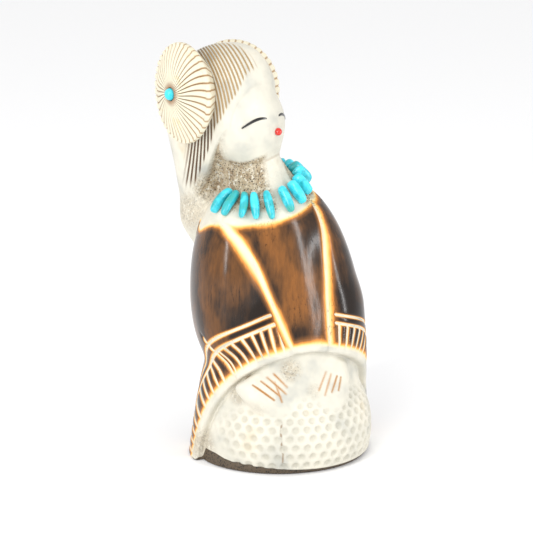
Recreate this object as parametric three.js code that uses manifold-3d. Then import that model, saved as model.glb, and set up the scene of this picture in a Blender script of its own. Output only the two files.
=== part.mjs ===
// Seated maiden carved from one piece of antler, wrapped in a stained shawl, hands on a round basket.
// Millimetres. +Z is up, -Y is the side of the chest, +X is the figure's own left.
// The origin is the middle of the flat sawn base that the figure stands on.
import * as THREE from "three";
import Module from "manifold-3d";

const wasm = await Module();
wasm.setup();

// Driving dimensions.
const HEIGHT = 101.7; // base to the top of the higher whorl
const BASKET_RADIUS = 19.6; // bulge of the basket, across
const SHAWL_STEP = 2.2; // depth of the hem over what lies under it
const BORDER_WIDTH = 1.8; // groove that edges the chest panel
const BORDER_DEPTH = 0.55;
const WHORL_RADIUS = 12.1; // the hair whorl over each ear
const WHORL_DOME = 3.2; // rise of its centre over its rim
const WHORL_EDGE = 1.4; // thickness of its rim
const WHORL_FLUTES = 36; // grooves that run out from its centre
const FLUTE_DEPTH = 0.45;
const WHORL_STONE_RADIUS = 1.45;
const STONE_WIDTH = 1.95;
const STONE_THICK = 2;
const EYE_LENGTH = 5;
const EYE_WIDTH = 0.62;
const MOUTH_RADIUS = 0.98;
const INLAY_GAP = 0.2; // clearance between an inlay and its socket
const NECKLACE_GAP = 0.46; // clearance between a necklace stone and the collar

// The pose and the carving are set out on a figure this tall, then scaled to HEIGHT.
const FORM_HEIGHT = 101.7;
const SCALE = HEIGHT / FORM_HEIGHT;

// Materials.
const antler = new THREE.MeshStandardMaterial({ color: 0xe4ddcd, roughness: 0.5, metalness: 0 });
const turquoise = new THREE.MeshStandardMaterial({ color: 0x2fb3bf, roughness: 0.35, metalness: 0 });
const coral = new THREE.MeshStandardMaterial({ color: 0xc8291c, roughness: 0.2, metalness: 0 });
const jet = new THREE.MeshStandardMaterial({ color: 0x0c0b0d, roughness: 0.25, metalness: 0 });

// Small maths on points held as [x, y, z].
const RAD = Math.PI / 180;
const add = (a, b, k = 1) => a.map((v, i) => v + b[i] * k);
const sub = (a, b) => a.map((v, i) => v - b[i]);
const dot = (a, b) => a[0] * b[0] + a[1] * b[1] + a[2] * b[2];
const unit = (a) => a.map((v) => v / Math.hypot(...a));
const cross = (a, b) => [
  a[1] * b[2] - a[2] * b[1],
  a[2] * b[0] - a[0] * b[2],
  a[0] * b[1] - a[1] * b[0],
];
const clamp = (x, lo, hi) => Math.min(Math.max(x, lo), hi);

function ease(from, to, x) {
  const t = clamp((x - from) / (to - from), 0, 1);
  return t * t * (3 - 2 * t);
}

// Soft union and soft intersection; k is the width of the blend.
function join(a, b, k) {
  const h = Math.max(k - Math.abs(a - b), 0) / k;
  return Math.min(a, b) - (h * h * k) / 4;
}
const trim = (a, b, k) => -join(-a, -b, k);

// Smooth curve through [position, value] pairs.
function curve(pairs) {
  const n = pairs.length - 1;
  const slope = (i) => {
    const a = pairs[Math.max(i - 1, 0)];
    const b = pairs[Math.min(i + 1, n)];
    return (b[1] - a[1]) / (b[0] - a[0]);
  };
  return (x) => {
    if (x <= pairs[0][0]) return pairs[0][1];
    if (x >= pairs[n][0]) return pairs[n][1];
    const i = pairs.findIndex((pair) => pair[0] > x) - 1;
    const [[x0, v0], [x1, v1]] = [pairs[i], pairs[i + 1]];
    const h = x1 - x0;
    const t = (x - x0) / h;
    const s = 1 - t;
    const ends = s * s * (1 + 2 * t) * v0 + t * t * (3 - 2 * t) * v1;
    return ends + h * t * s * (s * slope(i) - t * slope(i + 1));
  };
}

// Distances to simple solids, negative inside.
function local(p, centre, axes) {
  const q = sub(p, centre);
  return axes.map((axis) => dot(q, axis));
}

// An ellipsoid, squarer where power is above 2.
function ellipsoid(q, centre, radii, power = 2) {
  const s = q.map((v, i) => Math.abs((v - centre[i]) / radii[i]));
  const norm = Math.hypot(...s) + 1e-9;
  const slope = Math.hypot(s[0] / radii[0], s[1] / radii[1], s[2] / radii[2]) / norm + 1e-9;
  const level = (s[0] ** power + s[1] ** power + s[2] ** power) ** (1 / power);
  return (level - 1) / slope;
}

function ellipse(x, y, a, b) {
  const level = Math.hypot(x / a, y / b) + 1e-9;
  return (level * (level - 1)) / (Math.hypot(x / (a * a), y / (b * b)) + 1e-9);
}

// A rod from a to b with round ends, its radius going from ra to rb.
function rod(p, a, b, ra, rb) {
  const along = sub(b, a);
  const q = sub(p, a);
  const t = clamp(dot(q, along) / dot(along, along), 0, 1);
  return Math.hypot(...add(q, along, -t)) - (ra + (rb - ra) * t);
}

// The lean of the antler.
const LEAN_FROM = 22;

function axis(z) {
  const t = Math.max(z - LEAN_FROM, 0) ** 2;
  return [-0.00225 * t, 0.0012 * t];
}

// Angle about the leaning axis: 0 at the chest, positive to the figure's left.
function bearing([x, y, z]) {
  const [cx, cy] = axis(z);
  return Math.atan2(x - cx, -(y - cy)) / RAD;
}

// Shawl: half widths across and deep, by height.
const shawlAcross = curve([
  [0, 23.6], [8, 22.4], [17, 20.8], [24, 19.3], [38, 16.8], [50, 14.8],
  [58, 13.6], [62, 12.2], [66, 9.6], [70, 7.0], [76, 5.5],
]);
const shawlDeep = curve([
  [0, 19.5], [8, 19.4], [17, 18.8], [24, 17.6], [38, 15.6], [50, 14.2],
  [58, 13.2], [62, 11.8], [66, 9.4], [70, 7.0], [76, 5.5],
]);
const SHOULDER_TILT = 0.14; // the left shoulder is the higher one

function torso([x, y, z]) {
  const [cx, cy] = axis(z);
  const level = z - SHOULDER_TILT * (x - cx) * ease(40, 60, z);
  const side = ellipse(x - cx, y - cy, shawlAcross(level), shawlDeep(level));
  return trim(side, z - 73, 2);
}

function upperArm(p, centre, up, radii, power) {
  const z = unit(up);
  const x = unit(cross([0, 1, 0], z));
  return ellipsoid(local(p, centre, [x, cross(z, x), z]), [0, 0, 0], radii, power);
}

function arms(p) {
  const right = join(
    upperArm(p, [-13.2, -0.2, 44], [0.05, 0.02, 1], [9.5, 12.8, 22], 2.15),
    rod(p, [-13, -5.5, 36], [-5.5, -12, 30.5], 7, 5.2),
    4,
  );
  const left = join(
    upperArm(p, [9.2, -1.2, 38.5], [-0.2, 0.06, 1], [9.4, 12.4, 27.5], 2.2),
    rod(p, [10.4, -5.2, 38], [8.6, -10.6, 29.5], 6.4, 5.6),
    4,
  );
  return [right, left];
}

// The hem is half an ellipse on the unrolled surface, from the floor on one side over the lap to the other.
const UNROLL = 20;
const HEM_TOP = 29.6;
const HEM_TURN = 4.5;
const HEM_SPAN = 88;

function aboveHem(p) {
  return ellipse((bearing(p) - HEM_TURN) * RAD * UNROLL, p[2], HEM_SPAN * RAD * UNROLL, HEM_TOP);
}

function hemHeight(angle) {
  const t = clamp((angle - HEM_TURN) / HEM_SPAN, -1, 1);
  return HEM_TOP * Math.sqrt(1 - t * t);
}

// Bearings of the two grooves that edge the chest panel, by height.
const borderRight = curve([
  [24, 2], [31, -9], [39, -20], [45.3, -28.5], [52.3, -36.5], [56.5, -44], [58.4, -50], [60, -57],
]);
const borderLeft = curve([
  [24, 20], [31, 24.2], [38.5, 28.3], [45.5, 31.6], [52.5, 36.4], [59, 44.5], [63.5, 51],
]);
const BORDER_TOP = 58; // above this the grooves fade out

const borders = (z) => [borderRight(z), borderLeft(z)];

function borderGrooves(p) {
  const angle = bearing(p);
  const half = BORDER_WIDTH / SCALE / 2;
  const bells = borders(p[2]).map((at) => Math.exp(-1 * (((angle - at) * RAD * 17) / half) ** 2));
  const front = ease(4, -4, p[1]) * ease(BORDER_TOP + 4, BORDER_TOP, p[2]) * ease(-0.8, 0.4, aboveHem(p));
  return (BORDER_DEPTH / SCALE) * front * (bells[0] + bells[1]);
}

function shawl(p) {
  const [right, left] = arms(p);
  return join(join(torso(p), right, 2), left, 2) + borderGrooves(p);
}

// Basket and hands.
function basket(p) {
  const across = BASKET_RADIUS / SCALE;
  const bowl = ellipsoid(p, [1.2, -2, 7.8], [across, across * 0.955, 14], 2.2);
  return trim(bowl, p[1] - 6, 2);
}

function hand(p, centre, toward, radii) {
  const f = unit(toward);
  const out = [0, -0.717, 0.697];
  const n = unit(add(out, f, -dot(out, f)));
  return ellipsoid(local(p, centre, [f, cross(f, n), n]), [0, 0, 0], radii, 2.3);
}

function hands(p) {
  const right = hand(p, [-8.6, -13.4, 20.2], [0.82, -0.3, -0.48], [8, 5.2, 3]);
  const left = hand(p, [7, -14, 20.4], [-0.35, -0.3, -0.85], [7, 4.8, 2.9]);
  return join(right, left, 0.5);
}

// Head, turned to the left and tipped back.
const TURN = 31 * RAD;
const TIP = 10 * RAD;
const HEAD = [-9.4, 5.3, 85.6];
const LEFT = [Math.cos(TURN), Math.sin(TURN), 0];
const FACE = [Math.sin(TURN) * Math.cos(TIP), -Math.cos(TURN) * Math.cos(TIP), Math.sin(TIP)];
const UP = cross(FACE, LEFT);

function neck(p) {
  const t = (p[2] - 58) / 24;
  const x = p[0] + 5.2 + 4.4 * t;
  const y = p[1] - 4.2 - 1.8 * t;
  const side = ellipse(x * 0.515 - y * 0.857, x * 0.857 + y * 0.515, 10.6, 6.8);
  return trim(side, Math.abs(p[2] - 69) - 15, 4);
}

function head(p) {
  const q = local(p, HEAD, [LEFT, FACE, UP]);
  const face = ellipsoid(q, [0, 2, -3.4], [8.9, 9.2, 11]);
  const hood = ellipsoid(q, [-0.7, -2.6, 1.4], [9.6, 12.2, 14.4], 2.5);
  const fall = join(
    rod(p, [-16, 14.2, 83], [-15.4, 12.6, 58], 9, 6),
    rod(p, [-15.4, 12.6, 58], [-11.5, 7, 42], 6, 4),
    3,
  );
  return join(face, join(hood, fall, 7), 0.6);
}

// Negative inside the carving, in the form's own units.
function carving(p) {
  const robe = shawl(p);
  const hem = aboveHem(p);
  const core = robe + SHAWL_STEP / SCALE;
  const lap = join(join(core, basket(p), 4.5), hands(p), 2.5);
  let d = join(trim(robe, -hem, 1), trim(core, hem - 3, 1), 0.5);
  d = join(d, trim(lap, hem + 0.8, 1), 1);
  d = join(d, neck(p), 2);
  return join(d, head(p), 1.2);
}

function outward(p) {
  const e = 0.05;
  const slope = [0, 1, 2].map((i) => {
    const side = [0, 0, 0];
    side[i] = e;
    return carving(add(p, side)) - carving(sub(p, side));
  });
  return unit(slope);
}

// Walks a ray to the first point on the carving, then halves the last step.
function land(from, toward, reach) {
  const at = (t) => add(from, toward, t);
  let t = 0;
  let step = 0;
  while (t < reach) {
    const d = carving(at(t));
    if (d < 0) break;
    step = Math.max(d * 0.6, 0.12);
    t += step;
  }
  if (t >= reach) return null;
  let [outer, inner] = [t - step, t];
  for (let i = 0; i < 18; i++) {
    const mid = (outer + inner) / 2;
    if (carving(at(mid)) < 0) inner = mid;
    else outer = mid;
  }
  return at((outer + inner) / 2);
}

function onSurface(angle, z) {
  const [cx, cy] = axis(z);
  const away = [Math.sin(angle * RAD), -Math.cos(angle * RAD), 0];
  return land(add([cx, cy, z], away, 40), away.map((v) => -v), 39.8) ?? [cx, cy, z];
}

// Closed bodies from rings. The rings run counter-clockwise seen from the top pole, from the bottom pole up.
function ringSolid(bottom, rings, top) {
  const n = rings[0].length;
  const points = [bottom, ...rings.flat(), top];
  const faces = [];
  const at = (ring, i) => 1 + ring * n + (i % n);
  for (let i = 0; i < n; i++) {
    faces.push(0, at(0, i + 1), at(0, i));
    faces.push(points.length - 1, at(rings.length - 1, i), at(rings.length - 1, i + 1));
    for (let r = 0; r + 1 < rings.length; r++) {
      const [a, b, c, d] = [at(r, i), at(r, i + 1), at(r + 1, i + 1), at(r + 1, i)];
      faces.push(a, b, c, a, c, d);
    }
  }
  const geometry = new THREE.BufferGeometry();
  geometry.setAttribute("position", new THREE.Float32BufferAttribute(points.flat(), 3));
  geometry.setIndex(faces);
  return geometry;
}

const scaled = (geometry) => geometry.scale(SCALE, SCALE, SCALE);

function toSolid(geometry) {
  const mesh = new wasm.Mesh({
    numProp: 3,
    vertProperties: Float32Array.from(geometry.getAttribute("position").array),
    triVerts: Uint32Array.from(geometry.getIndex().array),
  });
  mesh.merge();
  return new wasm.Manifold(mesh);
}

function fromSolid(solid) {
  const { vertProperties, triVerts } = solid.getMesh();
  const geometry = new THREE.BufferGeometry();
  geometry.setAttribute("position", new THREE.BufferAttribute(vertProperties, 3));
  geometry.setIndex(new THREE.BufferAttribute(triVerts, 1));
  return geometry;
}

// The carved antler.
const HEM_FLOOR = 9; // below this the hem runs up a column, above it along a row

// Bearings of the hem's two edges near the floor.
function hemEdges(z) {
  const swing = HEM_SPAN * Math.sqrt(1 - (Math.min(z, HEM_FLOOR) / HEM_TOP) ** 2);
  return [HEM_TURN - swing, HEM_TURN + swing];
}

// Columns are closer over the front. Three ride in each border groove, and a pair on each hem edge.
function columnAngles(z) {
  const neutral = [];
  for (let a = 96; a < 276; a += 9) neutral.push(a);
  for (let a = 276; a < 455; a += 3.6) neutral.push(a);
  const follow = ease(18, 28, z) * ease(BORDER_TOP + 8, BORDER_TOP, z);
  const half = BORDER_WIDTH / SCALE / 17 / RAD;
  const [r, l] = borders(clamp(z, 29, BORDER_TOP));
  const [hr, hl] = hemEdges(z);
  const home = [-93, -84, -80.4, -30, -26.4, -22.8, 27.6, 31.2, 34.8, 88.8, 92.4, 105];
  const grooves = [r - half, r, r + half, l - half, l, l + half].map(
    (at, i) => home[i + 3] + (at - home[i + 3]) * follow,
  );
  const goal = [home[0], hr - 0.8, hr + 0.8, ...grooves, hl - 0.8, hl + 0.8, home[11]];
  return neutral.map((column) => {
    const a = column > 180 ? column - 360 : column;
    const i = home.findIndex((h, k) => a >= h - 1e-6 && a < home[k + 1] - 1e-6);
    if (i < 0) return a;
    const t = (a - home[i]) / (home[i + 1] - home[i]);
    return goal[i] + (goal[i + 1] - goal[i]) * t;
  });
}

// Rows follow the hem where it is high, and lie level over the shoulders and the head.
const LOW_ROWS = 13; // floor to hem
const MID_ROWS = 8; // hem to shoulder
const NECK_ROWS = 14; // shoulder to brow
const TOP_ROWS = 5; // brow to crown
const SHOULDER = 60;
const BROW = 94;

function rowHeight(row, angle) {
  const hem = Math.max(hemHeight(angle), HEM_FLOOR);
  if (row < LOW_ROWS) return (hem - 0.3) * (row / (LOW_ROWS - 1)) ** 0.95;
  const mid = row - LOW_ROWS;
  if (mid < MID_ROWS) return hem + 0.7 + ((SHOULDER - hem - 0.7) * mid) / MID_ROWS;
  const high = mid - MID_ROWS;
  if (high < NECK_ROWS) return SHOULDER + ((BROW - SHOULDER) * high) / NECK_ROWS;
  const turn = ((high - NECK_ROWS) / TOP_ROWS) * 90;
  return BROW + (CROWN - BROW) * Math.sin(turn * RAD);
}

function crown() {
  const [cx, cy] = axis(98);
  return land([cx, cy, 125], [0, 0, -1], 60);
}

const TOP = crown();
const CROWN = TOP[2];

function antlerBody() {
  const rings = [];
  for (let row = 0; row < LOW_ROWS + MID_ROWS + NECK_ROWS + TOP_ROWS; row++) {
    const level = rowHeight(row, 0);
    const ring = columnAngles(level).map((angle) => onSurface(angle, rowHeight(row, angle)));
    rings.push(ring);
  }
  return scaled(ringSolid([0, 0, 0], rings, TOP));
}

// Hair whorls.
const WHORLS = {
  right: { centre: [-23.2, 7, 89.6], normal: unit([-0.96, -0.28, 0.02]) },
  left: { centre: [-6.4, 19.6, 87.4], normal: unit([0.66, 0.75, -0.1]) },
};

// Axes across, up and out of a whorl, its centre scaled to millimetres.
function whorlFrame({ centre, normal }) {
  const up = unit(add(UP, normal, -dot(UP, normal)));
  return { origin: centre.map((v) => v * SCALE), axes: [cross(up, normal), up, normal] };
}

function place({ origin, axes }, x, y, z) {
  return add(add(add(origin, axes[0], x), axes[1], y), axes[2], z);
}

// Rings about a whorl's axis from [radius, height, flute depth] stations.
function turned(frame, stations, count) {
  return stations.map(([radius, height, flute]) =>
    Array.from({ length: count }, (_, i) => {
      const a = (i / count) * Math.PI * 2;
      return place(frame, radius * Math.cos(a), radius * Math.sin(a), height - (i % 2) * flute);
    }),
  );
}

function whorlSolid(frame) {
  const R = WHORL_RADIUS;
  const pit = WHORL_STONE_RADIUS + INLAY_GAP;
  const dome = (r) => WHORL_DOME * (1 - (r / R) ** 2);
  const stations = [
    [R * 0.5, -WHORL_EDGE - 6, 0],
    [R * 0.94, -WHORL_EDGE, 0],
    [R, -WHORL_EDGE * 0.6, 0],
    [R, -0.3, FLUTE_DEPTH],
    [R * 0.92, dome(R * 0.92), FLUTE_DEPTH],
    [R * 0.45, dome(R * 0.45), FLUTE_DEPTH],
    [pit, dome(pit), 0],
    [pit * 0.98, dome(pit) - 0.8, 0],
  ];
  const bottom = place(frame, 0, 0, -WHORL_EDGE - 6);
  const top = place(frame, 0, 0, dome(pit) - 0.8);
  return toSolid(ringSolid(bottom, turned(frame, stations, WHORL_FLUTES * 2), top));
}

function whorlStone(frame) {
  const r = WHORL_STONE_RADIUS;
  const floor = WHORL_DOME * (1 - ((r + INLAY_GAP) / WHORL_RADIUS) ** 2) - 0.8 + INLAY_GAP;
  const stations = [[r * 0.85, 0], [r, 0.4], [r * 0.9, 1.2], [r * 0.5, 1.8]].map(
    ([radius, height]) => [radius, floor + height, 0],
  );
  const bottom = place(frame, 0, 0, floor);
  return ringSolid(bottom, turned(frame, stations, 12), place(frame, 0, 0, floor + 2));
}

// Necklace.
// Bearings of the stones' low ends, from under the hair on the right to the middle of the back.
const STONE_BEARINGS = [
  -70, -58, -44, -29.5, -11, 13, 33, 54, 77, 97, 114, 130, 146, 162, 178,
];

// Ends of a stone's line over the collar, as [bearing, height]; the collar is higher on the left.
function stoneLine(angle) {
  const rise = 3 * Math.sin(angle * RAD) + 1.9 * (1 - Math.cos(angle * RAD));
  return [
    [angle, 62.2 + rise],
    [angle * 0.985, 67.4 + rise * 0.55],
  ];
}

// A slab that bends over the collar, every point of it NECKLACE_GAP clear of the antler.
const STONE_GIRTH = [[0.95, 0.55], [0.5, 1], [-0.5, 1], [-0.95, 0.55], [-0.8, 0], [0.8, 0]];
const STONE_TAPER = [0.66, 1, 1, 0.9, 0.64];

function clear(p) {
  let q = p;
  for (let i = 0; i < 3; i++) {
    const lack = NECKLACE_GAP / SCALE - carving(q);
    if (lack > 0) q = add(q, outward(q), lack);
  }
  return q;
}

function necklaceStone(angle) {
  const [low, high] = stoneLine(angle);
  const feet = STONE_TAPER.map((_, i) => {
    const t = i / (STONE_TAPER.length - 1);
    return onSurface(low[0] + (high[0] - low[0]) * t, low[1] + (high[1] - low[1]) * t);
  });
  const along = unit(sub(feet[feet.length - 1], feet[0]));
  const rings = feet.map((foot, i) => {
    const n = outward(foot);
    const side = unit(cross(along, n));
    const wide = ((STONE_WIDTH / 2) * STONE_TAPER[i]) / SCALE;
    const tall = (STONE_THICK * STONE_TAPER[i]) / SCALE;
    return STONE_GIRTH.map(([s, h]) => clear(add(add(foot, side, -s * wide), n, h * tall)));
  });
  const cap = (ring, k) => {
    const middle = ring.reduce((sum, q) => add(sum, q, 1 / ring.length), [0, 0, 0]);
    return add(middle, along, k);
  };
  return scaled(ringSolid(cap(rings[0], -0.25), rings, cap(rings[rings.length - 1], 0.25)));
}

// Face inlays.
// A point on the face by its place left of and above the middle of the head.
function onFace(left, up) {
  const start = add(add(add(HEAD, LEFT, left), UP, up), FACE, 24);
  return land(start, FACE.map((v) => -v), 30);
}

// A closed lid: a shallow arc, its inner end the higher one.
const EYE_MIDDLE = -0.55; // halfway between the eyes

function eyeBar(side, wide, from, to) {
  const count = 7;
  const rings = Array.from({ length: count }, (_, i) => {
    const t = (i / (count - 1)) * 2 - 1;
    const left = EYE_MIDDLE + side * (4.45 - (t * EYE_LENGTH) / SCALE / 2);
    const p = onFace(left, -2.6 + 0.75 * t - 0.75 * t * t);
    const n = outward(p);
    const across = unit(cross(n, LEFT));
    const half = wide * (1 - 0.55 * t * t);
    const base = p.map((v) => v * SCALE);
    const corner = (s, h) => add(add(base, across, -s * half * side), n, h);
    return [corner(-1, from), corner(1, from), corner(0.8, to), corner(-0.8, to)];
  });
  const middle = (ring) => ring.reduce((sum, q) => add(sum, q, 0.25), [0, 0, 0]);
  return ringSolid(middle(rings[0]), rings, middle(rings[count - 1]));
}

function bead(centre, normal, radius) {
  const side = unit(cross(normal, [0, 0, 1]));
  const frame = { origin: centre, axes: [side, cross(normal, side), normal] };
  const stations = [-50, -15, 20, 55].map((a) => [
    radius * Math.cos(a * RAD),
    radius * Math.sin(a * RAD),
    0,
  ]);
  const bottom = place(frame, 0, 0, -radius);
  return ringSolid(bottom, turned(frame, stations, 12), place(frame, 0, 0, radius));
}

const MOUTH = onFace(0.5, -6.2);

function mouthBead(radius) {
  const normal = outward(MOUTH);
  return bead(add(MOUTH.map((v) => v * SCALE), normal, MOUTH_RADIUS * 0.25), normal, radius);
}

// Assembly.
const group = new THREE.Group();
group.name = "antler_maiden";

function addMesh(name, geometry, material) {
  const mesh = new THREE.Mesh(geometry, material);
  mesh.name = name;
  group.add(mesh);
}

const frames = { right: whorlFrame(WHORLS.right), left: whorlFrame(WHORLS.left) };

function antlerFigure() {
  let solid = toSolid(antlerBody());
  for (const frame of Object.values(frames)) solid = solid.add(whorlSolid(frame));
  for (const side of [-1, 1]) {
    solid = solid.subtract(toSolid(eyeBar(side, EYE_WIDTH / 2 + INLAY_GAP, -0.7, 0.8)));
  }
  solid = solid.subtract(toSolid(mouthBead(MOUTH_RADIUS + INLAY_GAP)));
  return fromSolid(solid);
}

addMesh("antler_figure", antlerFigure(), antler);
addMesh("whorl_stone_right", whorlStone(frames.right), turquoise);
addMesh("whorl_stone_left", whorlStone(frames.left), turquoise);
addMesh("eye_right", eyeBar(-1, EYE_WIDTH / 2, -0.45, 0.12), jet);
addMesh("eye_left", eyeBar(1, EYE_WIDTH / 2, -0.45, 0.12), jet);
addMesh("mouth", mouthBead(MOUTH_RADIUS), coral);
for (const [i, angle] of STONE_BEARINGS.entries()) {
  const name = `necklace_stone_${String(i + 1).padStart(2, "0")}`;
  addMesh(name, necklaceStone(angle), turquoise);
}

export default group;
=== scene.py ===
# %% [markdown]
# # A seated maiden carved from one piece of antler
# The real object is a hand-high carving, about 10 cm tall. A maiden in a stained shawl rests her hands on a
# round basket, her hair is rolled in two whorls, and turquoise, coral and jet are set into the antler.
# We start with the frame: it holds the solids at their true size, and every piece below is fitted to it.

import bmesh
import bpy
import numpy as np
from mathutils import Matrix, Vector


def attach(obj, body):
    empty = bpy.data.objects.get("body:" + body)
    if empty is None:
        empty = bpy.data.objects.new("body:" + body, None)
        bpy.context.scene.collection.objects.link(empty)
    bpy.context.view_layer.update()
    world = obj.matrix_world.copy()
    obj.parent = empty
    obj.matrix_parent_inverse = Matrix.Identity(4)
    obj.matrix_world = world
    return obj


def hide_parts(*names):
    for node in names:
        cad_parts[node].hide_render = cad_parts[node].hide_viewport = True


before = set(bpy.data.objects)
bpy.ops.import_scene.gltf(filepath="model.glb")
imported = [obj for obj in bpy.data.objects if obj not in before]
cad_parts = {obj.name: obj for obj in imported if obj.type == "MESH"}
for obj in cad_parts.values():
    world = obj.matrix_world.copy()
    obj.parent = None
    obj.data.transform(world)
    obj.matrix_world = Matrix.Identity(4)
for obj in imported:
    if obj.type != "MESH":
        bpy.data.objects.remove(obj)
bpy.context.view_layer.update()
MM = 0.001

# %% [markdown]
# ## The form as a field
# A carving has no parts to assemble: arms, lap and head flow into each other. A field suits that. It is a
# function that is negative inside the antler and positive outside, and soft unions blend one form into the
# next. The numbers are those of the solid, in millimetres, so the surface lies where the solid's does.

# %% Small maths for fields
RAD = np.pi / 180


def unit(v):
    v = np.asarray(v, float)
    return v / np.linalg.norm(v)


def ease(low, high, x):
    t = np.clip((x - low) / (high - low), 0, 1)
    return t * t * (3 - 2 * t)


def join(a, b, k):
    h = np.maximum(k - np.abs(a - b), 0) / k
    return np.minimum(a, b) - h * h * k / 4


def trim(a, b, k):
    return -join(-a, -b, k)


def bell(x, width):
    return np.exp(-((x / width) ** 2))


# %% Pieces and their frames
def new_piece(name, mesh):
    piece = bpy.data.objects.new(name, mesh)
    bpy.context.collection.objects.link(piece)
    return piece


def belongs(piece, node_name):
    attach(piece, "root")
    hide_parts(node_name)


def face_outward(mesh):
    work = bmesh.new()
    work.from_mesh(mesh)
    bmesh.ops.recalc_face_normals(work, faces=work.faces)
    work.to_mesh(mesh)
    work.free()


def placed(at, x, y, z):
    """Matrix that sets a piece's own axes at a point given in millimetres."""
    return Matrix.Translation(Vector(at) * MM) @ Matrix(np.column_stack([x, y, z]).tolist()).to_4x4()


# %% Simple solids
def local(p, centre, axes):
    q = [p[i] - centre[i] for i in range(3)]
    return [q[0] * a[0] + q[1] * a[1] + q[2] * a[2] for a in axes]


def ellipsoid(q, centre, radii, power=2.0):
    s = [np.abs((q[i] - centre[i]) / radii[i]) for i in range(3)]
    norm = np.sqrt(s[0] ** 2 + s[1] ** 2 + s[2] ** 2) + 1e-9
    slope = np.sqrt(sum((s[i] / radii[i]) ** 2 for i in range(3))) / norm + 1e-9
    if power == 2.0:
        return (norm - 1) / slope
    return ((s[0] ** power + s[1] ** power + s[2] ** power) ** (1 / power) - 1) / slope


def ellipse(x, y, a, b):
    level = np.hypot(x / a, y / b) + 1e-9
    return level * (level - 1) / (np.hypot(x / a**2, y / b**2) + 1e-9)


def rod(p, a, b, ra, rb):
    along = np.subtract(b, a)
    q = [p[i] - a[i] for i in range(3)]
    t = np.clip(sum(q[i] * along[i] for i in range(3)) / (along @ along), 0, 1)
    gap = np.sqrt(sum((q[i] - t * along[i]) ** 2 for i in range(3)))
    return gap - (ra + (rb - ra) * t)


def smooth_curve(pairs):
    x, v = np.array(pairs, float).T
    slope = np.gradient(v, x)
    slope[1:-1] = (v[2:] - v[:-2]) / (x[2:] - x[:-2])

    def value(at):
        at = np.clip(at, x[0], x[-1])
        i = np.clip(np.searchsorted(x, at, side="right") - 1, 0, len(x) - 2)
        h = x[i + 1] - x[i]
        t = (at - x[i]) / h
        s = 1 - t
        ends = s * s * (1 + 2 * t) * v[i] + t * t * (3 - 2 * t) * v[i + 1]
        return ends + h * t * s * (s * slope[i] - t * slope[i + 1])

    return value


# %% [markdown]
# The antler leans back and to the figure's right as it rises, so every bearing is taken about a leaning axis.
# The shawl is a stack of ovals whose width and depth follow two curves, and the arms swell out of it.


# %% Shawl and arms
LEAN_FROM = 22


def axis(z):
    t = np.maximum(z - LEAN_FROM, 0) ** 2
    return -0.00225 * t, 0.0012 * t


def bearing(p):
    cx, cy = axis(p[2])
    return np.arctan2(p[0] - cx, -(p[1] - cy)) / RAD


SHAWL_ACROSS = smooth_curve([(0, 23.6), (8, 22.4), (17, 20.8), (24, 19.3), (38, 16.8), (50, 14.8),
                             (58, 13.6), (62, 12.2), (66, 9.6), (70, 7.0), (76, 5.5)])
SHAWL_DEEP = smooth_curve([(0, 19.5), (8, 19.4), (17, 18.8), (24, 17.6), (38, 15.6), (50, 14.2),
                           (58, 13.2), (62, 11.8), (66, 9.4), (70, 7.0), (76, 5.5)])


def torso(p):
    cx, cy = axis(p[2])
    x, y = p[0] - cx, p[1] - cy
    level = p[2] - 0.14 * x * ease(40, 60, p[2])
    side = ellipse(x, y, SHAWL_ACROSS(level), SHAWL_DEEP(level))
    return trim(side, p[2] - 73, 2)


def upper_arm(p, centre, up, radii, power):
    z = unit(up)
    x = unit(np.cross((0, 1, 0), z))
    return ellipsoid(local(p, centre, (x, np.cross(z, x), z)), (0, 0, 0), radii, power)


def arms(p):
    right = join(upper_arm(p, (-13.2, -0.2, 44), (0.05, 0.02, 1), (9.5, 12.8, 22), 2.15),
                 rod(p, (-13, -5.5, 36), (-5.5, -12, 30.5), 7, 5.2), 4)
    left = join(upper_arm(p, (9.2, -1.2, 38.5), (-0.2, 0.06, 1), (9.4, 12.4, 27.5), 2.2),
                rod(p, (10.4, -5.2, 38), (8.6, -10.6, 29.5), 6.4, 5.6), 4)
    return right, left


# %% [markdown]
# The hem is an arch: half an oval when the surface is unrolled. Everything on the lower shawl is laid out
# from it. `chart` gives the distance above the hem and the turn along it, like a map of the shawl.

# %% Hem, borders and their map
UNROLL, HEM_TURN, HEM_SPAN, HEM_TOP = 20.0, 4.5, 88.0, 29.6
SHAWL_STEP = 2.2


def above_hem(p):
    across = (bearing(p) - HEM_TURN) * RAD * UNROLL
    return ellipse(across, p[2], HEM_SPAN * RAD * UNROLL, HEM_TOP)


def chart(p):
    across = (bearing(p) - HEM_TURN) * RAD * UNROLL
    rise = np.hypot(across * HEM_TOP / (HEM_SPAN * RAD * UNROLL), p[2]) - HEM_TOP
    return rise, np.arctan2(across, p[2]) / RAD


# Bearings of the two borders by height, and the radius that turns a bearing into a length there.
BORDER_REACH = 17
BORDER_RIGHT = smooth_curve([(24, 2), (31, -9), (39, -20), (45.3, -28.5), (52.3, -36.5), (56.5, -44),
                             (58.4, -50), (60, -57), (61, -68), (62.5, -90)])
BORDER_LEFT = smooth_curve([(24, 20), (31, 24.2), (38.5, 28.3), (45.5, 31.6), (52.5, 36.4), (59, 44.5),
                            (63.5, 51)])


def borders(p):
    """Distances to the two border lines, positive on the chest panel."""
    angle = bearing(p)
    gaps = []
    for line, side in ((BORDER_RIGHT, 1), (BORDER_LEFT, -1)):
        lean = (line(p[2] + 0.2) - line(p[2] - 0.2)) / 0.4 * RAD * BORDER_REACH
        gaps.append(side * (angle - line(p[2])) * RAD * BORDER_REACH / np.sqrt(1 + lean**2))
    return gaps


def shawl(p):
    right, left = arms(p)
    return join(join(torso(p), right, 2), left, 2)


# %% [markdown]
# Below the hem lie the lap, the two hands and the basket. The head is turned 31 degrees to the figure's left
# and tipped back, so it has a frame of its own: left, face and up.


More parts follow.
